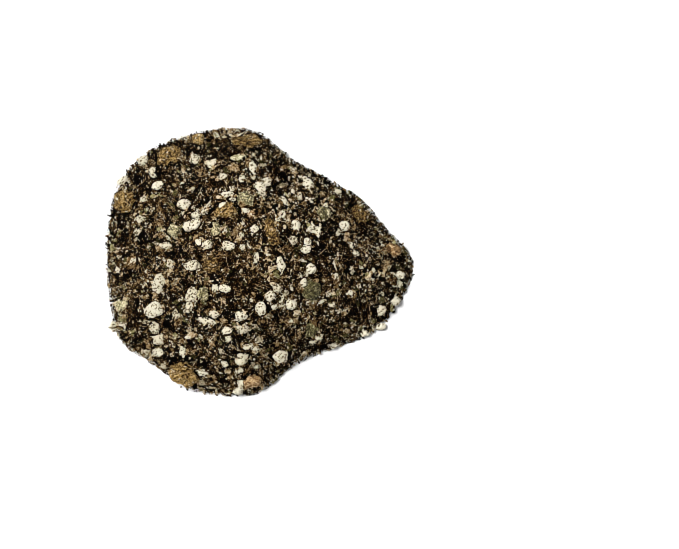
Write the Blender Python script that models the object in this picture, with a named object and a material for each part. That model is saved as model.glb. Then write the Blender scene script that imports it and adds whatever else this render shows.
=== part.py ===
"""A heap of potting compost: one double handful of peat and coir, with the granules that show in it.

The fine compost is one solid, a low dome on a flat foot. Each large granule is a solid of its own:
perlite, vermiculite, peat clods, bark chips and a seed husk. A granule sits in a pocket of the dome,
a little clear of its wall. Units are metres, +Z is up, and the origin is the centre of the foot.
"""

import math
import random

import bmesh
import bpy
from mathutils import Matrix, Vector, noise

MM = 0.001

# The dome.
HEAP_HEIGHT = 31 * MM
RIM_HEIGHT = 1.2 * MM  # the foot ends in a low step, not in a feather edge
TOP_ROUNDING = 0.4  # how far the round top reaches, as a share of the foot: 0 is a sharp cone
LUMP_HEIGHT = 1.5 * MM
LUMP_SIZE = 11 * MM
LUMP_OCTAVES = 2
LUMP_FADE = 4  # the lumps fade out over the last quarter of the way to the foot's edge
SLOPE_STEP = 1 * MM  # to each side of a place, to measure the dome's slope there
SPOKES = 72
RINGS = 16
COMPOST_COLOUR = (0.045, 0.032, 0.02)
COMPOST_ROUGHNESS = 0.95

# How far the foot reaches from its centre, in mm, every 15 degrees anticlockwise from +X.
FOOT_REACH = (
    45.0, 38.0, 35.3, 31.9, 30.8, 32.0, 37.8, 40.2, 42.6, 45.5, 46.8, 45.2,
    44.4, 44.6, 46.4, 42.6, 42.4, 40.2, 38.2, 32.4, 31.3, 34.4, 39.4, 43.0,
)  # fmt: skip
MEAN_REACH = sum(FOOT_REACH) / len(FOOT_REACH) * MM

# The granules.
POCKET_GAP = 0.4 * MM  # between a granule and its pocket, on each side
BED_LIFT = 0.14  # share of its height that a granule's centre stands above the dome
FLOOR_GAP = 0.05 * MM  # between the floor and a granule at the heap's edge
SPIRAL_JITTER = 0.35  # radians that an outline point may stray from its even place

# Each kind: outline points, how uneven they are, how square its corners are (2 is an ellipsoid),
# height over width, colour and roughness.
KINDS = {
    "perlite": (30, 0.10, 2.4, 0.85, (0.80, 0.79, 0.72), 0.90),
    "vermiculite": (26, 0.05, 3.6, 0.75, (0.36, 0.33, 0.17), 0.55),
    "peat_clod": (42, 0.10, 2.3, 0.70, (0.17, 0.11, 0.05), 0.95),
    "bark_chip": (24, 0.05, 4.5, 0.62, (0.15, 0.12, 0.06), 0.80),
    "seed_husk": (30, 0.02, 2.0, 0.80, (0.30, 0.27, 0.16), 0.60),
}

# Each granule, in mm and degrees: x, y, length, width, turn of its length from +X.
GRANULES = {
    "perlite": (
        (-32.9, 28.9, 3.5, 3.1, 40),
        (-29.8, 25.5, 3.3, 3.1, 0),
        (-28.6, 21.8, 4.4, 2.4, 25),
        (-39.1, 23.7, 4.6, 2.1, 28),
        (-12.6, 27.7, 3.4, 3.1, 60),
        (-1.0, 26.1, 5.2, 2.4, 105),
        (-4.0, 22.9, 2.8, 2.4, 80),
        (1.1, 20.9, 4.0, 3.3, 120),
        (14.6, 22.0, 3.7, 3.3, 20),
        (15.1, 17.1, 3.2, 2.7, 0),
        (7.7, 16.6, 4.2, 2.4, -58),
        (-8.3, 18.7, 2.9, 2.1, -10),
        (-20.3, 16.3, 4.8, 3.0, -5),
        (-16.9, 10.6, 3.7, 3.2, 30),
        (-13.2, 4.7, 3.8, 2.7, 0),
        (-7.2, 4.5, 3.9, 2.2, -20),
        (-18.0, -1.1, 4.9, 3.1, 10),
        (-27.7, -6.0, 6.5, 3.7, 72),
        (11.2, 9.8, 3.3, 2.9, -40),
        (15.6, 9.1, 3.5, 3.0, 20),
        (14.4, 5.3, 2.9, 2.4, -30),
        (24.6, 10.0, 3.1, 2.5, 30),
        (15.4, -2.0, 3.4, 2.9, -60),
        (41.0, -3.7, 3.1, 2.8, 90),
        (39.6, -10.9, 3.1, 2.8, 30),
        (35.7, -18.6, 3.5, 2.2, 30),
        (6.3, -26.6, 4.6, 4.1, 40),
        (1.4, -12.9, 4.2, 3.4, 100),
        (4.2, -9.4, 3.1, 2.6, 90),
        (-4.0, -15.1, 3.7, 3.3, 0),
        (-13.6, -16.7, 6.8, 2.2, -6),
        (-7.9, -19.1, 3.9, 2.5, 15),
        (-29.4, -13.7, 5.8, 4.8, 10),
        (-28.6, -25.7, 3.8, 2.6, 15),
        (-18.3, -9.4, 4.4, 2.6, 80),
        (-8.4, -7.4, 4.6, 2.2, -10),
        (7.2, -0.7, 4.9, 2.2, 105),
        (-5.7, -37.0, 3.0, 2.8, 0),
    ),
    "vermiculite": (
        (-2.7, 17.3, 5.4, 4.1, -20),
        (-14.5, -9.1, 4.1, 3.6, 85),
        (-23.1, 8.6, 4.7, 3.8, -15),
        (-10.9, 9.0, 4.6, 2.9, 100),
        (18.8, 13.8, 4.8, 4.1, -30),
        (-39.2, -12.3, 4.7, 3.0, 25),
    ),
    "peat_clod": (
        (-38.4, 17.4, 7.0, 6.4, 80),
        (-25.5, 30.4, 8.2, 5.4, 38),
        (-3.1, 34.7, 9.8, 4.4, 8),
        (-17.1, 35.2, 4.0, 3.4, 40),
        (-8.0, 13.9, 6.4, 5.2, 0),
        (28.9, 13.2, 6.0, 4.6, -45),
        (-21.2, -32.2, 9.0, 7.8, -40),
        (4.7, 8.4, 9.2, 4.3, 98),
        (-11.4, -1.1, 5.8, 4.8, 0),
    ),
    "bark_chip": (
        (39.0, 3.4, 4.6, 4.0, -50),
        (-1.5, -34.4, 5.0, 4.4, 15),
        (15.6, -8.0, 6.2, 5.2, -20),
        (15.1, -19.4, 5.0, 3.8, 70),
    ),
    "seed_husk": ((-5.4, 29.6, 5.2, 2.2, 5),),
}


def clear_scene():
    for old in list(bpy.data.objects):
        bpy.data.objects.remove(old, do_unlink=True)


def material(name, colour, roughness):
    made = bpy.data.materials.new(name)
    made.use_nodes = True
    shader = made.node_tree.nodes["Principled BSDF"]
    shader.inputs["Base Color"].default_value = (*colour, 1.0)
    shader.inputs["Roughness"].default_value = roughness
    return made


def reach(angle):
    """The foot's reach at an angle: a smooth closed curve through FOOT_REACH."""
    count = len(FOOT_REACH)
    place = (angle / math.tau * count) % count
    first = int(place)
    t = place - first
    before, start, end, after = (FOOT_REACH[(first + k) % count] for k in (-1, 0, 1, 2))
    straight = 2 * start + (end - before) * t
    bend = (2 * before - 5 * start + 4 * end - after) * t**2
    twist = (3 * start - before - 3 * end + after) * t**3
    return 0.5 * (straight + bend + twist) * MM


def foot_offset():
    """Moves the foot's box onto the origin."""
    rim = [Vector((math.cos(a), math.sin(a))) * reach(a) for a in spoke_angles()]
    low = Vector((min(p.x for p in rim), min(p.y for p in rim)))
    high = Vector((max(p.x for p in rim), max(p.y for p in rim)))
    return -(low + high) / 2


def spoke_angles():
    return [math.tau * k / SPOKES for k in range(SPOKES)]


def flank(outward):
    """Share of the height that is left at this share of the way out: a cone with a round top."""
    foot = math.hypot(1, TOP_ROUNDING)
    return (foot - math.hypot(outward, TOP_ROUNDING)) / (foot - TOP_ROUNDING)


def dome_height(x, y):
    """Height of the dome over a point measured from the foot's centre."""
    edge = reach(math.atan2(y, x))
    share = math.hypot(x, y) / edge
    if share >= 1:
        return RIM_HEIGHT
    # A contour near the top is a circle, and the last one is the foot's outline.
    contour = MEAN_REACH * (1 - share) + edge * share
    outward = share * edge / contour
    lumps = noise.fractal(Vector((x, y, 0)) / LUMP_SIZE, 1.0, 2.0, LUMP_OCTAVES)
    fade = min(1.0, LUMP_FADE * (1 - outward))
    return RIM_HEIGHT + (HEAP_HEIGHT - RIM_HEIGHT) * flank(outward) + LUMP_HEIGHT * lumps * fade


def dome_normal(x, y):
    """The dome's upward direction over a point measured from the foot's centre."""
    slope_x = (dome_height(x + SLOPE_STEP, y) - dome_height(x - SLOPE_STEP, y)) / (2 * SLOPE_STEP)
    slope_y = (dome_height(x, y + SLOPE_STEP) - dome_height(x, y - SLOPE_STEP)) / (2 * SLOPE_STEP)
    return Vector((-slope_x, -slope_y, 1)).normalized()


def build_dome(centre, paint):
    """The fine compost: rings of a dome, a low rim and a flat foot."""
    bm = bmesh.new()
    top = bm.verts.new((centre.x, centre.y, dome_height(0, 0)))
    rings = []
    for ring in range(1, RINGS + 1):
        share = ring / RINGS
        row = []
        for angle in spoke_angles():
            x = math.cos(angle) * reach(angle) * share
            y = math.sin(angle) * reach(angle) * share
            row.append(bm.verts.new((x + centre.x, y + centre.y, dome_height(x, y))))
        rings.append(row)
    rings.append([bm.verts.new((v.co.x, v.co.y, 0)) for v in rings[-1]])
    for k in range(SPOKES):
        after = (k + 1) % SPOKES
        bm.faces.new((top, rings[0][k], rings[0][after]))
        for inner, outer in zip(rings, rings[1:]):
            bm.faces.new((inner[k], outer[k], outer[after], inner[after]))
    bm.faces.new(reversed(rings[-1]))
    bmesh.ops.triangulate(bm, faces=[f for f in bm.faces if len(f.verts) == 4])
    dome = finish_object("compost_mass", bm, paint)
    return dome


def finish_object(name, bm, paint):
    mesh = bpy.data.meshes.new(name)
    bm.to_mesh(mesh)
    bm.free()
    mesh.materials.append(paint)
    made = bpy.data.objects.new(name, mesh)
    bpy.context.collection.objects.link(made)
    return made


def uneven_hull(size, points, unevenness, squareness, rng):
    """A convex granule that fills a box of this size: the hull of points spread round a superellipsoid."""
    bm = bmesh.new()
    golden = math.pi * (3 - math.sqrt(5))
    for k in range(points):
        z = 1 - 2 * (k + 0.5) / points
        around = golden * k + rng.uniform(-SPIRAL_JITTER, SPIRAL_JITTER)
        flat = math.sqrt(1 - z * z)
        spot = Vector((flat * math.cos(around), flat * math.sin(around), z))
        norm = sum(abs(c) ** squareness for c in spot) ** (1 / squareness)
        bm.verts.new(spot / norm * (1 - rng.uniform(0, unevenness)))
    hull = bmesh.ops.convex_hull(bm, input=bm.verts)
    inside = [v for v in hull["geom_interior"] if isinstance(v, bmesh.types.BMVert)]
    bmesh.ops.delete(bm, geom=inside, context="VERTS")
    bmesh.ops.recalc_face_normals(bm, faces=bm.faces)
    for axis in range(3):
        low = min(v.co[axis] for v in bm.verts)
        high = max(v.co[axis] for v in bm.verts)
        for v in bm.verts:
            v.co[axis] = ((v.co[axis] - low) / (high - low) - 0.5) * size[axis]
    return bm


def resting_place(x, y, turn, height, centre):
    """Where a granule sits: half sunk in the dome, lying along its slope."""
    up = dome_normal(x, y)
    lay = Vector((0, 0, 1)).rotation_difference(up).to_matrix()
    spot = Vector((x, y, dome_height(x, y))) + up * BED_LIFT * height
    spot += Vector((centre.x, centre.y, 0))
    return Matrix.Translation(spot) @ (lay @ Matrix.Rotation(turn, 3, "Z")).to_4x4()


def raise_to_floor(place, bm):
    """Lifts a granule at the foot of the heap so that it doesn't go below the foot."""
    lowest = min((place @ v.co).z for v in bm.verts)
    return Matrix.Translation((0, 0, max(0.0, FLOOR_GAP - lowest))) @ place


def build_granules(centre):
    """One object for each granule, and one pocket cutter for each."""
    pockets = bpy.data.collections.new("pockets")
    bpy.context.scene.collection.children.link(pockets)
    for kind, rows in GRANULES.items():
        points, unevenness, squareness, flatness, colour, roughness = KINDS[kind]
        paint = material(kind, colour, roughness)
        for number, (x, y, length, width, turn) in enumerate(rows, start=1):
            name = kind if len(rows) == 1 else f"{kind}_{number:02d}"
            rng = random.Random(name)
            size = Vector((length, width, width * flatness)) * MM
            bm = uneven_hull(size, points, unevenness, squareness, rng)
            place = resting_place(x * MM, y * MM, math.radians(turn), size.z, centre)
            place = raise_to_floor(place, bm)
            granule = finish_object(name, bm, paint)
            granule.matrix_world = place
            pocket = bpy.data.objects.new(f"pocket_{name}", granule.data)
            grown = Matrix.Diagonal([(side + 2 * POCKET_GAP) / side for side in size])
            pocket.matrix_world = place @ grown.to_4x4()
            pocket.hide_render = True
            pocket.display_type = "WIRE"
            pockets.objects.link(pocket)
    return pockets


def cut_pockets(dome, pockets):
    cut = dome.modifiers.new("pockets", "BOOLEAN")
    cut.operation = "DIFFERENCE"
    cut.operand_type = "COLLECTION"
    cut.collection = pockets
    cut.solver = "EXACT"


def main():
    clear_scene()
    centre = foot_offset()
    dome = build_dome(centre, material("compost", COMPOST_COLOUR, COMPOST_ROUGHNESS))
    cut_pockets(dome, build_granules(centre))


main()
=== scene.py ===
"""The looks of a heap of potting compost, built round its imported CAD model.

The bed is the fine compost, and it stands for the CAD dome. Each large granule gets a finer mesh on
its CAD solid. Then crumbs, grit and dust settle on the bed one by one, and fibres lie over them.
Lengths are in metres, +Z is up, and the origin is the centre of the heap's foot.
"""

import math
from collections import namedtuple

import bmesh
import bpy
import numpy as np
from mathutils import Euler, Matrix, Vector, noise
from mathutils.bvhtree import BVHTree


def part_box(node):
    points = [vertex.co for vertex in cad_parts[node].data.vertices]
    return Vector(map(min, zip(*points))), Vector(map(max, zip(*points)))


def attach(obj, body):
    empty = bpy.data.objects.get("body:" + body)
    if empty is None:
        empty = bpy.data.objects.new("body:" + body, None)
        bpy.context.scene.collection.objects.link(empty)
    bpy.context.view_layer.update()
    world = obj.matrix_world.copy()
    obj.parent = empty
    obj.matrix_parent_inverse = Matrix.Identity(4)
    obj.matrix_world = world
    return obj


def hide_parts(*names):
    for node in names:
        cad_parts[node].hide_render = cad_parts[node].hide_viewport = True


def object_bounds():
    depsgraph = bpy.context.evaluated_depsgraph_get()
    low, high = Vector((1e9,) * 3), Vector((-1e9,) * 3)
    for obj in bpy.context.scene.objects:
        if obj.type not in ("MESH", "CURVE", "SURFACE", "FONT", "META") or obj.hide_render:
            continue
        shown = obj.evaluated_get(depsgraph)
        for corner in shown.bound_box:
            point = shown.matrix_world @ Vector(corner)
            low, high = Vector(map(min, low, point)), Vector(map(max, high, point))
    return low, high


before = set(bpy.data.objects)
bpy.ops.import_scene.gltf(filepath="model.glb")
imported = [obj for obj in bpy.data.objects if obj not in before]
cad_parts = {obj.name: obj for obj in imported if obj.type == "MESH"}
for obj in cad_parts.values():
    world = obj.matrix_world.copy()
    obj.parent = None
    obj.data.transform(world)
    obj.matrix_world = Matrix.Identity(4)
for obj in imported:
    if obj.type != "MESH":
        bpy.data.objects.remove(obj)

MM = 0.001
CAD_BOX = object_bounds()
CORE = "compost_mass"

# The height map that crumbs settle on.
CELL = 0.25 * MM
MARGIN = 4 * MM  # of floor round the foot
POCKET_PAD = 0.9 * MM  # round a granule's box, to take in its pocket
POCKET_PASSES = 400  # that carry the dome over the pockets
SINK = 1.0 * MM  # how far the bed lies under the CAD dome, as room for the crumbs
STAND = 0.45  # how far a crumb's centre stands over what is under it, as a share of its half height
MOUND_SLOPE = 1.3  # of the bed round a granule
MOUND_TOP = 0.6  # how far the mound's flat top reaches, as a share of the granule's half width
MOUND_DROP = 0.35  # how far the top lies under the granule's middle, as a share of its half height
FOOT_SLOPE = 1.1  # of the bed at the edge of the foot
FOOT_CURVE = 0.35 / MM  # how fast the slope that is allowed grows inward
FOOT_STEPS = 40  # cells inward that the foot's taper reaches
FLOOR_GAP = 0.02 * MM  # the least height of a crumb's or a granule's points
LUMP_HEIGHT = 1.3 * MM
LUMP_SIZE = 5.5 * MM
LUMP_FADE = 5 * MM  # the dome's height under which lumps grow smaller
SPILL_BLUR = 10  # passes that spread the foot's edge for the finest crumbs
CRUST = 0.35  # the share of fine crumbs that may lie on a clod
CLOD_BURY = 0.15 * MM  # how deep they press into it
FOOT_SHARE = 1.5  # how much denser crumbs lie on the lowest part of the flanks
FOOT_BAND = 4 * MM
WANDER = 1.3  # how far a crumb looks for a lower place, in its own half lengths

# The camera looks down on the heap, which stands left of the frame's middle.
CAMERA_ELEVATION = 90
CAMERA_DISTANCE = 0.62
CAMERA_AIM = Vector((23.3, -3.6, 12)) * MM
VIEW_WIDTH = 194 * MM  # what the frame's width takes in at the aim
SENSOR_WIDTH = 36  # in mm, as Blender has it
PIXEL_FILTER = 0.5  # in pixels, which keeps the grains crisp

FLOOR_COLOUR = (0.66, 0.66, 0.66, 1)
FLOOR_SIZE = 4  # in metres
WORLD_STRENGTH = 0.18

# Perlite too small for the CAD model, in mm and degrees: x, y, length, width, turn.
GRIT = (
    (-18.3, 29.6, 3.0, 2.7, 0), (1.4, 19.0, 2.6, 2.4, 30), (12.3, 24.0, 3.1, 1.8, 10),
    (22.9, 20.0, 2.4, 2.0, 0), (-19.4, 10.0, 3.0, 2.6, 80), (-17.1, 13.1, 2.6, 2.0, 0),
    (-14.3, 14.9, 4.0, 1.6, 60), (-0.3, 9.1, 2.3, 2.0, 90), (-16.0, 5.4, 2.0, 1.8, 0),
    (-7.7, 4.3, 3.0, 2.4, 10), (-3.7, 4.0, 1.6, 1.5, 0), (-26.0, 4.6, 3.5, 2.0, 0),
    (-24.6, -0.6, 2.5, 2.0, 90), (0.3, 1.1, 2.8, 1.5, 90), (-34.0, 12.3, 2.4, 2.0, 0),
    (-34.6, 8.6, 2.5, 2.0, 10), (-18.0, -9.1, 4.4, 2.7, 95), (-19.0, -12.6, 3.6, 2.2, 75),
    (-11.4, -7.1, 2.6, 1.7, 90), (4.0, -9.7, 3.0, 2.6, 90), (7.1, -10.3, 2.6, 1.4, 80),
    (6.0, -7.4, 2.3, 2.2, 0), (13.1, -6.0, 2.6, 2.0, 40), (39.9, -6.3, 3.4, 2.0, 0),
    (35.1, -14.0, 3.2, 2.8, 0), (30.6, -20.6, 2.6, 2.0, 0), (21.4, -24.0, 2.6, 2.0, 0),
    (17.4, -21.4, 2.6, 2.0, 0), (9.7, -12.0, 3.6, 2.6, 0), (5.1, -12.6, 2.0, 1.7, 0),
    (-4.0, -18.9, 3.4, 2.5, 10), (-12.0, -14.6, 3.1, 2.3, 0), (-8.0, -21.7, 1.8, 1.7, 0),
    (-29.7, -18.9, 3.4, 2.6, 90), (-28.6, -22.3, 3.7, 3.0, 20), (-23.1, -14.9, 2.5, 2.0, 90),
    (-21.7, -25.7, 3.4, 1.7, 90), (-16.0, -31.7, 3.1, 2.0, 0), (-9.4, -28.9, 2.3, 2.0, 0),
    (-4.6, -27.4, 4.2, 3.3, 80), (-2.6, -24.0, 2.9, 1.6, 30), (-5.1, -34.9, 2.3, 2.0, 0),
    (-40.6, -2.0, 2.5, 1.5, 90), (10.3, 6.0, 2.6, 2.4, 0), (17.1, 8.3, 3.1, 2.0, 90),
    (13.7, 3.4, 3.2, 2.2, 20), (-42.4, -18.6, 2.8, 2.3, 60), (2.6, 22.6, 2.6, 2.4, 0),
    (-35.9, 0.5, 1.8, 1.4, 20), (28.0, 2.4, 1.9, 1.6, 0), (22.2, -4.1, 1.8, 1.5, 60),
    (26.4, -8.8, 1.7, 1.5, 0), (-33.0, 18.2, 2.1, 1.6, 40), (-9.8, 24.3, 2.0, 1.6, 0),
)  # fmt: skip

# Tones run from 0, the darkest colour of a material's ramp, to 1, the palest.
# Compost is darker in some patches. Crumbs in its hollows get painted shade, and crumbs that stand over
# the levelled surface get painted light.
PATCH_TONE = 0.50
PATCH_SIZE = 6 * MM
HOLLOW_PAINTED_SHADE = 0.50  # painted shade for each mm of depth under the levelled surface, and painted light for each mm over it
HOLLOW_RANGE = (-0.7, 1.2)  # the depths in mm past which it doesn't go on
HOLLOW_BLUR = 50  # passes that level the surface, which depth is measured from
SIZE_POWER = 2.0  # over 1, so that few crumbs are large
TONE_POWER = 1.5  # over 1, so that few crumbs are pale
TONE_SPREAD = 0.12  # by which granules of one kind differ
MOTTLE = 1.9  # the mottling's contrast in fine compost

# The finest grains, with painted shade in the gaps between them, show in the materials only.
GRAIN_SIZE = 0.5  # in mm
GRAIN_AND_GAP_SHADE = 0.5
GRAIN_MEAN = 0.3  # what the value of a grain with its gap shade is on average

FIBRE_COUNT = 260
FIBRE_LENGTHS = (1.5 * MM, 4.2 * MM)
FIBRE_THICKNESS = (0.10 * MM, 0.22 * MM)
FIBRE_TONES = (0.35, 0.90)
FIBRE_CURL = 0.9  # radians that a fibre turns along its length
FIBRE_KINK = 0.12  # radians by which it turns at each joint, by chance
FIBRE_LIFT = 0.4 * MM  # over the levelled surface
FIBRE_FOOT = 5 * MM  # the dome is at least this high where a fibre lies
FIBRE_SIDES = 4
FIBRE_SEGMENTS = 7

# Granules.
GREEN_CHIPS = ("bark_chip_03", "bark_chip_04")
ROUNDED_KINDS = ("perlite", "seed_husk", "peat_clod")  # the others keep their facets
LARGE_GRANULE = 5.4 * MM  # one that is longer gets a finer mesh
# How much paler than its kind a granule is.
PALENESS = {
    "bark_chip_02": 0.2,
    "peat_clod_06": -0.18,
    "peat_clod_08": -0.08,
    "peat_clod_09": -0.16,
}

rng = np.random.default_rng(20)


# The height map.


def grid_axes():
    """The x and y of the map's cells."""
    (low_x, low_y, _), (high_x, high_y, _) = CAD_BOX
    xs = np.arange(low_x - MARGIN, high_x + MARGIN, CELL)
    ys = np.arange(low_y - MARGIN, high_y + MARGIN, CELL)
    return xs, ys


def mesh_tree(mesh):
    return BVHTree.FromPolygons([v.co for v in mesh.vertices], [p.vertices for p in mesh.polygons])


def point_below(tree, x, y):
    """Where a ray from above meets the mesh, or None."""
    return tree.ray_cast(Vector((x, y, 1.0)), Vector((0, 0, -1)))[0]


def cast_core(xs, ys):
    """The core's height over each cell, and 0 off it."""
    tree = mesh_tree(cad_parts[CORE].data)
    heights = np.zeros((len(xs), len(ys)))
    for i, x in enumerate(xs):
        for j, y in enumerate(ys):
            hit = point_below(tree, x, y)
            heights[i, j] = hit.z if hit else 0
    return heights


def blurred(field, passes):
    """The field after each cell is set to the mean of its four neighbours, so many times."""
    for _ in range(passes):
        padded = np.pad(field, 1, mode="edge")
        field = (padded[:-2, 1:-1] + padded[2:, 1:-1] + padded[1:-1, :-2] + padded[1:-1, 2:]) / 4
    return field


def fill_pockets(heights, xs, ys, granules):
    """Carries the dome's surface over the pockets that granules sit in."""
    open_cells = np.zeros(heights.shape, bool)
    for low, high in granules.values():
        inside_x = (xs > low[0] - POCKET_PAD) & (xs < high[0] + POCKET_PAD)
        inside_y = (ys > low[1] - POCKET_PAD) & (ys < high[1] + POCKET_PAD)
        open_cells |= np.outer(inside_x, inside_y)
    open_cells &= blurred((heights > 0).astype(float), 6) > 0.5
    filled = heights.copy()
    for _ in range(POCKET_PASSES):
        filled[open_cells] = blurred(filled, 1)[open_cells]
    return filled


def middle_and_half(low, high):
    """The middle and the half size of a box."""
    low, high = np.array(low), np.array(high)
    return (low + high) / 2, (high - low) / 2


def cells_under(xs, ys, x, y, reach):
    """Slices of the cells round a place, and those cells' offsets from it."""
    i0, i1 = np.searchsorted(xs, (x - reach, x + reach))
    j0, j1 = np.searchsorted(ys, (y - reach, y + reach))
    return (slice(i0, i1), slice(j0, j1)), xs[i0:i1, None] - x, ys[None, j0:j1] - y


# Settling.


class Surface:
    """The heap's surface, which rises as crumbs settle on it."""

    def __init__(self, granules, shapes):
        self.xs, self.ys = grid_axes()
        cast = cast_core(self.xs, self.ys)
        self.dome = fill_pockets(cast, self.xs, self.ys, granules)
        self.foot = self.dome > 0
        self.heights = np.where(self.foot, np.maximum(self.dome - SINK, 0.2 * MM), 0)
        self.roughen()
        self.bare = np.zeros(self.dome.shape, bool)
        self.clods = np.zeros(self.dome.shape, bool)
        for low, high in granules.values():
            self.prop_up(low, high)
        self.taper_foot()
        self.bed = self.heights.copy()
        for name, (low, high) in granules.items():
            self.cover(low, high, shapes[name], name.startswith("peat_clod"))
        self.near = blurred(self.foot.astype(float), SPILL_BLUR) > 0.3
        slope_x, slope_y = np.gradient(blurred(self.dome, 40), CELL)
        area = np.sqrt(1 + slope_x**2 + slope_y**2) * self.near
        area[self.dome < FOOT_BAND] *= FOOT_SHARE
        self.shares = np.cumsum(area.ravel()) / area.sum()

    def roughen(self):
        """Adds lumps and hollows to the bed."""
        for i, x in enumerate(self.xs):
            for j, y in enumerate(self.ys):
                if self.foot[i, j]:
                    at = Vector((x, y, 0))
                    lump = LUMP_HEIGHT * noise.fractal(at / LUMP_SIZE, 0.9, 2.1, 5)
                    lump *= min(1, self.dome[i, j] / LUMP_FADE)
                    self.heights[i, j] = max(0.1 * MM, self.heights[i, j] + lump)

    def taper_foot(self):
        """Lowers the bed near the edge of the foot, so that it has no wall there."""
        depth = np.zeros(self.dome.shape)
        inner = self.foot
        for _ in range(FOOT_STEPS):
            inner = blurred(inner.astype(float), 1) > 0.99
            depth += inner * CELL
        depth = blurred(depth, 4)
        limit = 0.1 * MM + FOOT_SLOPE * depth + FOOT_CURVE * depth**2
        self.heights = np.where(self.foot, np.minimum(self.heights, limit), 0)

    def prop_up(self, low, high):
        """Raises the bed under a granule, in a mound, so that it rests on it."""
        middle, half = middle_and_half(low, high)
        reach = max(half[:2])
        where, dx, dy = cells_under(self.xs, self.ys, middle[0], middle[1], 3 * reach)
        outside = np.maximum(0, np.hypot(dx, dy) - MOUND_TOP * reach)
        mound = middle[2] - MOUND_DROP * half[2] - MOUND_SLOPE * outside
        self.heights[where] = np.maximum(self.heights[where], mound)

    def cover(self, low, high, shape, is_clod):
        """Marks where a granule lies. Crumbs may settle on a clod, and stay off the others."""
        tree = mesh_tree(shape)
        middle, half = middle_and_half(low, high)
        where = cells_under(self.xs, self.ys, middle[0], middle[1], max(half[:2]))[0]
        cells, marks = self.heights[where], (self.clods if is_clod else self.bare)[where]
        for i, x in enumerate(self.xs[where[0]]):
            for j, y in enumerate(self.ys[where[1]]):
                hit = point_below(tree, x, y)
                marks[i, j] |= hit is not None
                if hit and is_clod:
                    cells[i, j] = max(cells[i, j], hit.z - CLOD_BURY)

    def spots(self, count):
        """Places spread evenly over the heap's area."""
        cells = np.searchsorted(self.shares, rng.random(count))
        i, j = np.unravel_index(cells, self.dome.shape)
        jitter = rng.uniform(-0.5, 0.5, (2, count)) * CELL
        return np.stack((self.xs[i] + jitter[0], self.ys[j] + jitter[1]), axis=1)

    def rest(self, x, y, half, turn):
        """How high a crumb's centre comes to rest here, its top over each cell, and the cells."""
        where, dx, dy = cells_under(self.xs, self.ys, x, y, max(half[0], half[1]))
        along = (dx * math.cos(turn) + dy * math.sin(turn)) / half[0]
        across = (dy * math.cos(turn) - dx * math.sin(turn)) / half[1]
        far = along**2 + across**2
        under = far < 1
        if not under.any():
            return None
        bulge = np.where(under, half[2] * np.sqrt(np.maximum(0, 1 - far)), -1.0)
        return self.heights[where][under].mean() + STAND * half[2], bulge, where

    def may_lie(self, i, j, least_depth, crust):
        """Whether a crumb may lie on this cell. Crust is the share that may lie on a clod."""
        if self.bare[i, j] or not self.near[i, j] or self.dome[i, j] < least_depth:
            return False
        return not self.clods[i, j] or rng.random() < crust

    def settle(self, spots, halves, tries, least_depth, crust):
        """Drops crumbs one by one, each into the lowest of a few places. Returns their places."""
        placed = []
        for (x, y), half in zip(spots, halves):
            best = None
            for attempt in range(tries):
                step = rng.normal(0, WANDER, 2) * half[0] if attempt else np.zeros(2)
                at_x, at_y = x + step[0], y + step[1]
                i, j = self.cell(at_x, at_y)
                if not self.may_lie(i, j, least_depth, crust):
                    continue
                turn = rng.uniform(0, math.tau)
                found = self.rest(at_x, at_y, half, turn)
                if found is None:
                    continue
                rise = found[0] - self.dome[i, j]
                if best is None or rise < best[0]:
                    best = (rise, at_x, at_y, turn, *found)
            if best is None:
                placed.append(None)
                continue
            _, at_x, at_y, turn, centre, bulge, where = best
            self.heights[where] = np.maximum(self.heights[where], centre + bulge)
            placed.append((at_x, at_y, centre, turn))
        return placed

    def cell(self, x, y):
        """The cell that a place is in."""
        i = min(max(round((x - self.xs[0]) / CELL), 0), len(self.xs) - 1)
        j = min(max(round((y - self.ys[0]) / CELL), 0), len(self.ys) - 1)
        return i, j


# Shapes.


def ball(subdivisions, unevenness, knobs, seed):
    """A lumpy ball of about unit radius: its points and its triangles."""
    bm = bmesh.new()
    bmesh.ops.create_icosphere(bm, subdivisions=subdivisions, radius=1)
    shift = Vector((seed * 7.3, seed * 1.9, -seed * 3.1))
    points = []
    for v in bm.verts:
        swell = noise.noise(v.co * 1.1 + shift)
        knob = noise.noise(v.co * 2.7 - shift)
        points.append(v.co * max(0.35, 1 + unevenness * swell + knobs * knob))
    faces = [[v.index for v in f.verts] for f in bm.faces]
    bm.free()
    return np.array(points), np.array(faces)


def turned(angles):
    """Rotation matrices for arrays of Euler angles."""
    (cx, cy, cz), (sx, sy, sz) = np.cos(angles.T), np.sin(angles.T)
    rows = (
        (cy * cz, sx * sy * cz - cx * sz, cx * sy * cz + sx * sz),
        (cy * sz, sx * sy * sz + cx * cz, cx * sy * sz - sx * cz),
        (-sy, sx * cy, cx * cy),
    )
    return np.moveaxis(np.array(rows), 2, 0)


def link(name, data):
    """A new object in the scene that holds this data."""
    made = bpy.data.objects.new(name, data)
    bpy.context.collection.objects.link(made)
    return made


def store(mesh, name, kind, values):
    """Stores a number or a vector at each point of the mesh."""
    field = "value" if kind == "FLOAT" else "vector"
    mesh.attributes.new(name, kind, "POINT").data.foreach_set(field, values)


def mesh_object(name, points, faces, material, tones, cells):
    """An object from arrays, with a tone and a bake cell for each crumb."""
    mesh = bpy.data.meshes.new(name)
    mesh.vertices.add(len(points))
    mesh.vertices.foreach_set("co", points.ravel())
    mesh.loops.add(faces.size)
    mesh.loops.foreach_set("vertex_index", faces.ravel())
    mesh.polygons.add(len(faces))
    mesh.polygons.foreach_set("loop_start", np.arange(0, faces.size, 3))
    mesh.update(calc_edges=True)
    mesh.validate()
    store(mesh, "tone", "FLOAT", tones)
    mesh.uv_layers.new(name="OFBake").uv.foreach_set("vector", cells.ravel())
    mesh.materials.append(material)
    return link(name, mesh)


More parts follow.
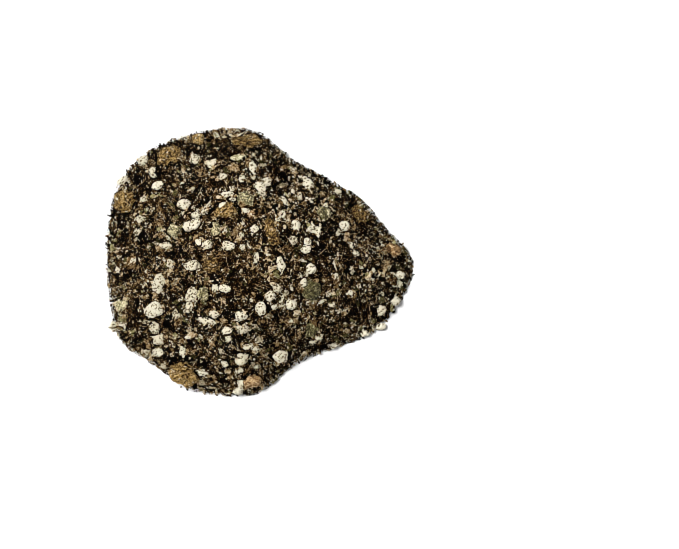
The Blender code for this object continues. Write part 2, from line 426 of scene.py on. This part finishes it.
def bake_cells(owners, count):
    """Texture coordinates that give each crumb one cell: all of its triangles share the cell."""
    side = math.ceil(math.sqrt(count))
    corner = np.stack((owners % side, owners // side), axis=1)[:, None, :]
    triangle = np.array(((0.15, 0.15), (0.85, 0.15), (0.15, 0.85)))
    return (corner + triangle[None]) / side


def crumbs(name, placed, halves, shapes, material, tones, tumble):
    """One object that holds a crumb at each place."""
    kept = [k for k, place in enumerate(placed) if place]
    points, faces, owners, shades = [], [], [], []
    angles = rng.uniform(-tumble, tumble, (len(kept), 3))
    angles[:, 2] = [placed[k][3] for k in kept]
    spins = turned(angles)
    total = 0
    for number, k in enumerate(kept):
        shape_points, shape_faces = shapes[number % len(shapes)]
        local = (shape_points * halves[k]) @ spins[number].T
        local += placed[k][:3]
        local[:, 2] = np.maximum(local[:, 2], FLOOR_GAP)
        points.append(local)
        faces.append(shape_faces + total)
        total += len(local)
        owners.append(np.full(len(shape_faces), number))
        shades.append(np.full(len(local), tones[k]))
    points, faces = np.concatenate(points), np.concatenate(faces)
    cells = bake_cells(np.concatenate(owners), len(kept))
    return mesh_object(name, points, faces, material, np.concatenate(shades), cells)


def crumb_sizes(count, smallest, largest, slimness):
    """Half sizes of crumbs, many small and few large."""
    span = rng.random(count) ** SIZE_POWER
    across = (smallest + (largest - smallest) * span) * MM
    shape = rng.uniform((1.0, 0.6, 0.45), (1.5, 1.0, 0.8), (count, 3))
    shape *= (slimness, slimness**-0.5, slimness**-0.5)
    return shape * across[:, None] / 2


def crumb_tones(surface, places, level, low, high):
    """A tone for each crumb, by chance and by its patch of the heap, with painted shade by how deep it
    lies and painted light by how far it stands up.
    """
    tones = low + (high - low) * rng.random(len(places)) ** TONE_POWER
    for k, place in enumerate(places):
        if place:
            depth = (level[surface.cell(place[0], place[1])] - place[2]) / MM
            tones[k] += PATCH_TONE * noise.fractal(Vector(place[:3]) / PATCH_SIZE, 1.0, 2.0, 2)
            # Painted shade for crumbs under the levelled surface, and painted light for those over it.
            tones[k] -= HOLLOW_PAINTED_SHADE * min(max(depth, HOLLOW_RANGE[0]), HOLLOW_RANGE[1])
    return tones


# Materials.


def new_material(name, roughness, specular):
    made = bpy.data.materials.new(name)
    made.use_nodes = True
    shader = made.node_tree.nodes["Principled BSDF"]
    shader.inputs["Roughness"].default_value = roughness
    shader.inputs["Specular IOR Level"].default_value = specular
    return made, made.node_tree, shader


def ramp_node(tree, stops):
    ramp = tree.nodes.new("ShaderNodeValToRGB")
    ramp.color_ramp.interpolation = "LINEAR"
    while len(ramp.color_ramp.elements) < len(stops):
        ramp.color_ramp.elements.new(0.5)
    for element, (place, colour) in zip(ramp.color_ramp.elements, stops):
        element.position = place
        element.color = (*colour, 1)
    return ramp


def noise_node(tree, vector, scale, detail, roughness):
    made = tree.nodes.new("ShaderNodeTexNoise")
    made.inputs["Scale"].default_value = scale
    made.inputs["Detail"].default_value = detail
    made.inputs["Roughness"].default_value = roughness
    tree.links.new(vector, made.inputs["Vector"])
    return made.outputs["Fac"]


def remap_node(tree, value, from_min, from_max, to_min, to_max):
    made = tree.nodes.new("ShaderNodeMapRange")
    made.inputs["From Min"].default_value = from_min
    made.inputs["From Max"].default_value = from_max
    made.inputs["To Min"].default_value = to_min
    made.inputs["To Max"].default_value = to_max
    tree.links.new(value, made.inputs["Value"])
    return made.outputs[0]


def grain_tone_and_gap_shade(tree, where):
    """Fine grains: each has its own tone, and the gaps between them are darkened as painted shade."""
    cells = tree.nodes.new("ShaderNodeTexVoronoi")
    cells.inputs["Scale"].default_value = 1 / GRAIN_SIZE
    tree.links.new(where, cells.inputs["Vector"])
    # Painted shade: darker towards the gaps between the grains.
    gap_shade = remap_node(tree, cells.outputs["Distance"], 0.4, 0.9, 0.0, -1.0)
    return math_node(tree, "ADD", cells.outputs["Color"], gap_shade)


def math_node(tree, operation, first, second):
    made = tree.nodes.new("ShaderNodeMath")
    made.operation = operation
    for socket, value in zip(made.inputs, (first, second)):
        if isinstance(value, (int, float)):
            socket.default_value = value
        else:
            tree.links.new(value, socket)
    return made.outputs[0]


def scaled_value(tree, value, scale, offset):
    """The value times the scale, plus the offset."""
    made = math_node(tree, "MULTIPLY_ADD", value, scale)
    made.node.inputs[2].default_value = offset
    return made


def colour_by_tone(tree, shader, stops, *parts):
    """Adds the parts to the tone, and takes the surface's colour from the ramp there."""
    total = parts[0]
    for part in (*parts[1:], tone_value(tree)):
        total = math_node(tree, "ADD", total, part)
    ramp = ramp_node(tree, stops)
    tree.links.new(total, ramp.inputs["Fac"])
    tree.links.new(ramp.outputs["Color"], shader.inputs["Base Color"])


def object_coordinates(tree):
    """Where a point is on the object, in millimetres."""
    where = tree.nodes.new("ShaderNodeTexCoord")
    mapping = tree.nodes.new("ShaderNodeMapping")
    mapping.inputs["Scale"].default_value = (1 / MM, 1 / MM, 1 / MM)
    tree.links.new(where.outputs["Object"], mapping.inputs["Vector"])
    return mapping.outputs["Vector"]


def grain_coordinates(tree, stretch):
    """Where a point is along, across and through its granule, in millimetres."""
    where = tree.nodes.new("ShaderNodeAttribute")
    where.attribute_name = "grain"
    mapping = tree.nodes.new("ShaderNodeMapping")
    mapping.inputs["Scale"].default_value = stretch
    tree.links.new(where.outputs["Vector"], mapping.inputs["Vector"])
    return mapping.outputs["Vector"]


def tone_value(tree):
    tone = tree.nodes.new("ShaderNodeAttribute")
    tone.attribute_name = "tone"
    return tone.outputs["Fac"]


def add_bump(tree, shader, height, distance):
    bump = tree.nodes.new("ShaderNodeBump")
    bump.inputs["Distance"].default_value = distance
    bump.inputs["Strength"].default_value = 1
    tree.links.new(height, bump.inputs["Height"])
    tree.links.new(bump.outputs["Normal"], shader.inputs["Normal"])


SOIL = (
    (0.0, (0.001, 0.0004, 0.0001)),
    (0.25, (0.022, 0.0095, 0.0025)),
    (0.5, (0.190, 0.116, 0.047)),
    (0.75, (0.38, 0.265, 0.130)),
    (1.0, (0.62, 0.52, 0.35)),
)
OLIVE = (
    (0.0, (0.012, 0.010, 0.003)),
    (0.5, (0.095, 0.080, 0.028)),
    (1.0, (0.36, 0.32, 0.15)),
)


def soil_material(name, stops):
    """Fine compost: each crumb has its own tone, with mottling and finer grains over it, and painted
    shade in the gaps between those grains.
    """
    made, tree, shader = new_material(name, roughness=0.9, specular=0.02)
    where = object_coordinates(tree)
    speckle = noise_node(tree, where, scale=2.2, detail=3.0, roughness=0.8)
    shade = scaled_value(tree, speckle, MOTTLE, -MOTTLE / 2)
    # Finer grains, with painted shade in the gaps between them.
    grains_and_gap_shade = scaled_value(tree, grain_tone_and_gap_shade(tree, where), GRAIN_AND_GAP_SHADE, -GRAIN_MEAN * GRAIN_AND_GAP_SHADE)
    colour_by_tone(tree, shader, stops, shade, grains_and_gap_shade)
    rough = noise_node(tree, where, scale=4.0, detail=8.0, roughness=0.8)
    add_bump(tree, shader, rough, 0.4 * MM)
    return made


PERLITE = (
    (0.0, (0.07, 0.050, 0.022)),
    (0.25, (0.30, 0.245, 0.14)),
    (0.5, (0.52, 0.465, 0.33)),
    (1.0, (0.67, 0.63, 0.50)),
)


def perlite_material(name):
    """Expanded glass: white, with painted shade in its pits and a dusting of compost."""
    made, tree, shader = new_material(name, roughness=0.8, specular=0.25)
    where = object_coordinates(tree)
    dirt = noise_node(tree, where, scale=1.2, detail=3.0, roughness=0.8)
    shade = scaled_value(tree, dirt, 1.2, -0.6)
    warp = tree.nodes.new("ShaderNodeVectorMath")
    warp.operation = "ADD"
    tree.links.new(where, warp.inputs[0])
    tree.links.new(noise_node(tree, where, scale=2.5, detail=1.0, roughness=0.6), warp.inputs[1])
    pits = tree.nodes.new("ShaderNodeTexVoronoi")
    pits.inputs["Scale"].default_value = 1.3
    tree.links.new(warp.outputs[0], pits.inputs["Vector"])
    # Painted shade: darker towards the middle of each pit.
    rim = remap_node(tree, pits.outputs["Distance"], 0.24, 0.46, -1.3, 0.0)
    colour_by_tone(tree, shader, PERLITE, shade, rim)
    add_bump(tree, shader, pits.outputs["Distance"], 0.5 * MM)
    return made


def grained_material(name, stops, stretch, scale, bump, roughness, speckle, specular):
    """A granule with streaks along its grain. The speckle is the contrast of its finest grains and of
    the painted shade in the gaps between them.
    """
    made, tree, shader = new_material(name, roughness, specular)
    where = grain_coordinates(tree, stretch)
    streaks = noise_node(tree, where, scale, detail=5.0, roughness=0.65)
    place = object_coordinates(tree)
    mottle = noise_node(tree, place, scale=2.0, detail=2.0, roughness=0.9)
    both = math_node(tree, "ADD", streaks, mottle)
    contrast = scaled_value(tree, both, 3.0, -3.0)
    # Finer grains, with painted shade in the gaps between them.
    grains_and_gap_shade = scaled_value(tree, grain_tone_and_gap_shade(tree, place), speckle, -GRAIN_MEAN * speckle)
    colour_by_tone(tree, shader, stops, contrast, grains_and_gap_shade)
    add_bump(tree, shader, both, bump * MM)
    return made


def build_materials():
    vermiculite = (
        (0.0, (0.02, 0.015, 0.004)), (0.4, (0.16, 0.132, 0.050)),
        (0.7, (0.40, 0.350, 0.19)), (1.0, (0.68, 0.62, 0.42)),
    )  # fmt: skip
    clod = (
        (0.0, (0.008, 0.004, 0.001)), (0.3, (0.095, 0.053, 0.014)),
        (0.6, (0.28, 0.168, 0.050)), (1.0, (0.52, 0.36, 0.14)),
    )  # fmt: skip
    bark = (
        (0.0, (0.03, 0.015, 0.005)), (0.4, (0.15, 0.078, 0.028)),
        (0.75, (0.33, 0.20, 0.085)), (1.0, (0.56, 0.43, 0.24)),
    )  # fmt: skip
    green_bark = (
        (0.0, (0.010, 0.008, 0.003)), (0.4, (0.080, 0.068, 0.024)),
        (0.75, (0.23, 0.20, 0.090)), (1.0, (0.44, 0.41, 0.23)),
    )  # fmt: skip
    husk = (
        (0.0, (0.12, 0.10, 0.04)), (0.5, (0.36, 0.32, 0.18)), (1.0, (0.62, 0.58, 0.42)),
    )  # fmt: skip
    grained = (
        # name, ramp, stretch, scale, depth of the bump in mm, roughness, speckle, specular
        ("vermiculite", vermiculite, (0.2, 1.1, 0.5), 1.4, 0.3, 0.6, 0.7, 0.2),
        ("peat_clod", clod, (0.6, 1.6, 1.6), 1.4, 0.5, 0.9, 0.5, 0.1),
        ("bark_chip", bark, (0.25, 1.2, 1.2), 1.3, 0.3, 0.7, 0.5, 0.1),
        ("green_bark", green_bark, (0.5, 1.2, 1.2), 1.3, 0.4, 0.8, 0.6, 0.1),
        ("seed_husk", husk, (0.1, 1.6, 1.6), 1.6, 0.2, 0.6, 0.5, 0.1),
    )
    made = {
        "soil": soil_material("soil", SOIL),
        "olive": soil_material("olive_soil", OLIVE),
        "perlite": perlite_material("perlite_white"),
    }
    for name, *look in grained:
        made[name] = grained_material(name, *look)
    return made


# The pieces.


def build_bed(surface, material):
    """The fine compost under the crumbs, as a closed mesh with a flat foot."""
    step = 2  # cells to a face
    heights = surface.bed[::step, ::step]
    inside = (blurred(surface.foot.astype(float), 2) > 0.9)[::step, ::step]
    xs, ys = surface.xs[::step], surface.ys[::step]
    index = np.full(inside.shape, -1)
    index[inside] = np.arange(inside.sum())
    i, j = np.nonzero(inside)
    top = np.stack((xs[i], ys[j], heights[inside]), axis=1)
    corners = np.stack((index[:-1, :-1], index[1:, :-1], index[1:, 1:], index[:-1, 1:]), axis=2)
    quads = corners[(corners >= 0).all(axis=2)]
    used, quads = np.unique(quads, return_inverse=True)
    quads = quads.reshape(-1, 4)
    mesh = bpy.data.meshes.new("fine_compost")
    mesh.from_pydata(top[used].tolist(), [], quads.tolist())
    bm = bmesh.new()
    bm.from_mesh(mesh)
    rim = [edge for edge in bm.edges if edge.is_boundary]
    skirt = bmesh.ops.extrude_edge_only(bm, edges=rim)["geom"]
    for vert in (part for part in skirt if isinstance(part, bmesh.types.BMVert)):
        vert.co.z = 0
    edges = [part for part in skirt if isinstance(part, bmesh.types.BMEdge)]
    bmesh.ops.contextual_create(bm, geom=[edge for edge in edges if edge.is_boundary])
    bmesh.ops.triangulate(bm, faces=bm.faces)
    bmesh.ops.recalc_face_normals(bm, faces=bm.faces)
    bm.to_mesh(mesh)
    bm.free()
    # The bed shows only in the gaps between the crumbs. Its near-black tone is partly the compost's own
    # dark colour and partly painted shade for those gaps.
    tones = np.array([0.02 + 0.30 * noise.noise(v.co / (1.3 * MM)) for v in mesh.vertices])
    store(mesh, "tone", "FLOAT", tones)
    mesh.materials.append(material)
    mesh.shade_smooth()
    return link("fine_compost", mesh)


def granule_mesh(node, levels, rounded):
    """A CAD granule's mesh, welded and subdivided. One that isn't rounded keeps its facets."""
    bm = bmesh.new()
    bm.from_mesh(node.data)
    bmesh.ops.remove_doubles(bm, verts=bm.verts, dist=0.01 * MM)
    mesh = bpy.data.meshes.new(f"{node.name}_fine")
    bm.to_mesh(mesh)
    bm.free()
    scratch = link("scratch", mesh)
    smooth = scratch.modifiers.new("smooth", "SUBSURF")
    smooth.levels = smooth.render_levels = levels
    smooth.subdivision_type = "CATMULL_CLARK" if rounded else "SIMPLE"
    graph = bpy.context.evaluated_depsgraph_get()
    fine = bpy.data.meshes.new_from_object(scratch.evaluated_get(graph))
    bpy.data.objects.remove(scratch, do_unlink=True)
    return fine


def grain_frame(points):
    """A granule's middle and its long, broad and thin directions."""
    middle = points.mean(axis=0)
    _, axes = np.linalg.eigh(np.cov((points - middle).T))
    return middle, axes[:, ::-1]


# For each kind: swelling and pitting in mm, the size of the pits in mm, and its middle tone.
RELIEF = {
    "perlite": (0.70, 0.60, 0.9, 0.90),
    "vermiculite": (0.50, 0.45, 1.4, 0.50),
    "peat_clod": (1.30, 0.80, 1.0, 0.44),
    "bark_chip": (0.60, 0.35, 1.5, 0.42),
    "seed_husk": (0.10, 0.06, 1.0, 0.60),
}


def shape_granule(mesh, kind, seed, paleness):
    """Swells and pits a granule's surface, and stores its grain and its tone."""
    swelling, pitting, pit_size, middle_tone = RELIEF[kind]
    count = len(mesh.vertices)
    points = np.empty(count * 3)
    mesh.vertices.foreach_get("co", points)
    points = points.reshape(-1, 3)
    normals = np.array([v.normal for v in mesh.vertices])
    middle, axes = grain_frame(points)
    grain = (points - middle) @ axes / MM
    shift = Vector((seed * 5.1, -seed * 2.3, seed * 1.7))
    for k in range(count):
        at = Vector(grain[k])
        swell = noise.noise(at * 0.45 + shift)
        if kind == "vermiculite":
            waver = 2.0 * noise.noise(at * 0.6 + shift)
            ridge = math.sin(grain[k][1] * 5 + grain[k][2] * 3 + waver)
            dent = 0.5 - 0.5 * ridge
        elif kind == "seed_husk":
            dent = 0.5 + 0.5 * math.sin(math.atan2(grain[k][2], grain[k][1]) * 9)
        else:
            dent = max(0.0, 1 - noise.voronoi(at / pit_size + shift)[0][0] * 1.9)
        points[k] += normals[k] * (swelling * swell - pitting * dent) * MM
    points[:, 2] = np.maximum(points[:, 2], FLOOR_GAP)
    mesh.vertices.foreach_set("co", points.ravel())
    store(mesh, "grain", "FLOAT_VECTOR", (grain + np.array(shift)).ravel())
    tone = middle_tone + paleness + rng.uniform(-TONE_SPREAD, TONE_SPREAD)
    store(mesh, "tone", "FLOAT", np.full(count, tone))
    mesh.shade_smooth()


def build_granules(materials):
    """A finer mesh for each granule of the CAD model. Returns the meshes by granule."""
    shapes = {}
    for seed, (name, node) in enumerate(sorted(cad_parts.items())):
        kind = next((k for k in RELIEF if name.startswith(k)), None)
        if kind is None:
            continue
        low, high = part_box(name)
        levels = 3 if max(high[k] - low[k] for k in range(3)) > LARGE_GRANULE else 2
        mesh = granule_mesh(node, levels, kind in ROUNDED_KINDS)
        shape_granule(mesh, kind, seed, PALENESS.get(name, 0))
        mesh.materials.clear()
        mesh.materials.append(materials["green_bark" if name in GREEN_CHIPS else kind])
        made = link(f"{name}_finish", mesh)
        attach(made, "root")
        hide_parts(name)
        shapes[name] = mesh
    return shapes


def build_grit(surface, material):
    """Middle-sized perlite at set places."""
    rows = np.array(GRIT)
    halves = np.stack((rows[:, 2], rows[:, 3], rows[:, 3] * 0.85), axis=1) / 2 * MM
    placed = []
    for (x, y, _, _, turn), half in zip(rows, halves):
        centre, bulge, where = surface.rest(x * MM, y * MM, half, math.radians(turn))
        surface.heights[where] = np.maximum(surface.heights[where], centre + bulge)
        surface.bare[where] |= bulge > 0.4 * half[2]
        placed.append((x * MM, y * MM, centre, math.radians(turn)))
    shapes = [ball(4, 0.35, 0.30, seed) for seed in range(40, 52)]
    tones = rng.uniform(0.55, 0.95, len(rows))
    made = crumbs("perlite_grit", placed, halves, shapes, material, tones, 0.3)
    made.data.shade_smooth()
    return made


def settle_batch(surface, batch):
    """Sizes and places for one batch of crumbs."""
    halves = crumb_sizes(batch.count, *batch.sizes, batch.slimness)
    spots = surface.spots(batch.count)
    placed = surface.settle(spots, halves, batch.tries, batch.least_depth * MM, batch.crust)
    return placed, halves


# Sizes are in mm. Each crumb tries a few places, and its ball is subdivided detail times. It tumbles by
# so many radians at most, and lies where the dome is at least least_depth mm high.
Batch = namedtuple(
    "Batch", "name material count sizes slimness tries detail tumble least_depth crust tones"
)
BATCHES = (
    Batch("coarse_crumbs", "soil", 260, (1.8, 3.6), 1.0, 4, 3, 0.6, 5, 0, (0.15, 0.80)),
    Batch("medium_crumbs", "soil", 1900, (0.8, 1.8), 1.1, 4, 2, 1.0, 2, 0, (0.02, 0.90)),
    Batch("olive_crumbs", "olive", 360, (0.7, 2.0), 1.1, 4, 2, 1.0, 2, 0, (0.15, 0.90)),
    Batch("perlite_crumbs", "perlite", 170, (0.9, 2.0), 1.0, 2, 3, 0.8, 2, 0, (0.50, 0.95)),
    Batch("peat_slivers", "soil", 1900, (0.4, 1.1), 1.4, 3, 1, 0.9, 1, CRUST, (0.00, 0.85)),
    Batch("fine_crumbs", "soil", 9900, (0.25, 0.90), 1.2, 3, 1, 3.1, 0, CRUST, (-0.15, 1.15)),
    Batch("perlite_dust", "perlite", 5800, (0.25, 0.75), 1.0, 1, 1, 3.1, 0.5, CRUST, (0.30, 1.10)),
)


def build_crumbs(surface, materials):
    """The crumbs, from coarse to fine, with the perlite grit among them."""
    made, settled = {}, {}
    for batch in BATCHES:
        settled[batch] = settle_batch(surface, batch)
        if batch.name == "perlite_crumbs":
            made["perlite_grit"] = build_grit(surface, materials["perlite"])
    level = blurred(surface.heights, HOLLOW_BLUR)
    for batch, (placed, halves) in settled.items():
        shapes = [ball(batch.detail, 0.6, 0.5, seed) for seed in range(24)]
        tones = crumb_tones(surface, placed, level, *batch.tones)
        material = materials[batch.material]
        made[batch.name] = crumbs(batch.name, placed, halves, shapes, material, tones, batch.tumble)
    for name in ("coarse_crumbs", "perlite_crumbs"):
        made[name].data.shade_smooth()
    return made


def fibre_path(surface, level, x, y, length, radius):
    """Points along a fibre that bends as it goes, and follows the levelled surface."""
    heading = rng.uniform(0, math.tau)
    bend = rng.normal(0, FIBRE_CURL)
    path = []
    for _ in range(FIBRE_SEGMENTS + 1):
        lift = level[surface.cell(x, y)] + FIBRE_LIFT
        path.append((x, y, max(lift, radius)))
        x += math.cos(heading) * length / FIBRE_SEGMENTS
        y += math.sin(heading) * length / FIBRE_SEGMENTS
        heading += bend / FIBRE_SEGMENTS + rng.normal(0, FIBRE_KINK)
    path = np.array(path)
    smooth = path.copy()
    smooth[1:-1, 2] = np.maximum(path[1:-1, 2], (path[:-2, 2] + path[2:, 2]) / 2)
    return smooth


def tube_points(path, radius):
    """Rings of points round a path, thinner towards its ends."""
    turns = [math.tau * k / FIBRE_SIDES for k in range(FIBRE_SIDES)]
    ring = np.array([(math.cos(turn), math.sin(turn)) for turn in turns])
    tangent = np.gradient(path, axis=0)
    tangent /= np.linalg.norm(tangent, axis=1)[:, None]
    side = np.cross(tangent, (0, 0, 1.0))
    side /= np.linalg.norm(side, axis=1)[:, None]
    up = np.cross(side, tangent)
    taper = np.sqrt(np.sin(np.linspace(0.25, math.pi - 0.25, len(path))))[:, None, None]
    across = side[:, None] * ring[None, :, :1] + up[:, None] * ring[None, :, 1:]
    return (path[:, None] + taper * radius * across).reshape(-1, 3)


def tube_triangles():
    """The triangles of a tube with four sides, and of its two ends."""
    triangles = []
    for k in range(FIBRE_SEGMENTS):
        for s in range(FIBRE_SIDES):
            a = k * FIBRE_SIDES + s
            b = k * FIBRE_SIDES + (s + 1) % FIBRE_SIDES
            c, d = b + FIBRE_SIDES, a + FIBRE_SIDES
            triangles += [(a, b, c), (a, c, d)]
    end = FIBRE_SEGMENTS * FIBRE_SIDES
    triangles += [(0, 2, 1), (0, 3, 2), (end, end + 1, end + 2), (end, end + 2, end + 3)]
    return np.array(triangles)


def build_fibres(surface, material):
    """Thin bent tubes that lie on the surface."""
    points, faces, owners, shades = [], [], [], []
    triangles = tube_triangles()
    total = 0
    level = blurred(surface.heights, HOLLOW_BLUR)
    spots = [
        spot
        for spot in surface.spots(2 * FIBRE_COUNT)
        if surface.may_lie(*surface.cell(*spot), FIBRE_FOOT, 0)
    ]
    for number, (x, y) in enumerate(spots[:FIBRE_COUNT]):
        length = rng.uniform(*FIBRE_LENGTHS)
        radius = rng.uniform(*FIBRE_THICKNESS) / 2
        path = fibre_path(surface, level, x, y, length, radius)
        points.append(tube_points(path, radius))
        faces.append(triangles + total)
        total += len(points[-1])
        owners.append(np.full(len(triangles), number))
        shades.append(np.full(len(points[-1]), rng.uniform(*FIBRE_TONES)))
    points, faces = np.concatenate(points), np.concatenate(faces)
    cells = bake_cells(np.concatenate(owners), FIBRE_COUNT)
    return mesh_object("peat_fibres", points, faces, material, np.concatenate(shades), cells)


# The stage.


def build_floor():
    made, _, shader = new_material("floor", 0.9, 0.1)
    shader.inputs["Base Color"].default_value = FLOOR_COLOUR
    bpy.ops.mesh.primitive_plane_add(size=FLOOR_SIZE)
    floor = bpy.context.object
    floor.name = "floor"
    floor.data.materials.append(made)


def add_light(name, place, size, power):
    """A square light that faces the heap: its place and size in metres and its power in watts."""
    data = bpy.data.lights.new(name, "AREA")
    data.size = size
    data.energy = power
    light = link(name, data)
    light.location = place
    light.rotation_euler = (-Vector(place)).to_track_quat("-Z", "Y").to_euler()


def build_lights():
    add_light("key", (-0.32, 0.20, 0.96), 0.36, 20)
    add_light("fill", (0.6, -0.6, 0.9), 0.8, 3)
    world = bpy.data.worlds.new("studio")
    world.use_nodes = True
    background = world.node_tree.nodes["Background"]
    background.inputs["Color"].default_value = (1, 1, 1, 1)
    background.inputs["Strength"].default_value = WORLD_STRENGTH
    bpy.context.scene.world = world


def build_camera():
    data = bpy.data.cameras.new("camera")
    data.sensor_width = SENSOR_WIDTH
    data.lens = SENSOR_WIDTH * CAMERA_DISTANCE / VIEW_WIDTH
    data.clip_start = 0.01
    camera = link("camera", data)
    tilt = math.radians(90 - CAMERA_ELEVATION)
    camera.rotation_euler = Euler((tilt, 0, 0))
    away = Vector((0, -math.sin(tilt), math.cos(tilt)))
    camera.location = CAMERA_AIM + away * CAMERA_DISTANCE
    bpy.context.scene.camera = camera


def main():
    granules = {name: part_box(name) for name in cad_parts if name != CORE}
    materials = build_materials()
    shapes = build_granules(materials)
    surface = Surface(granules, shapes)
    bed = build_bed(surface, materials["soil"])
    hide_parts(CORE)
    pieces = {"fine_compost": bed}
    pieces.update(build_crumbs(surface, materials))
    pieces["peat_fibres"] = build_fibres(surface, materials["soil"])
    for name, piece in pieces.items():
        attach(piece, "root")
    build_floor()
    build_lights()
    build_camera()
    bpy.context.scene.view_settings.view_transform = "Standard"
    bpy.context.scene.cycles.filter_width = PIXEL_FILTER


main()
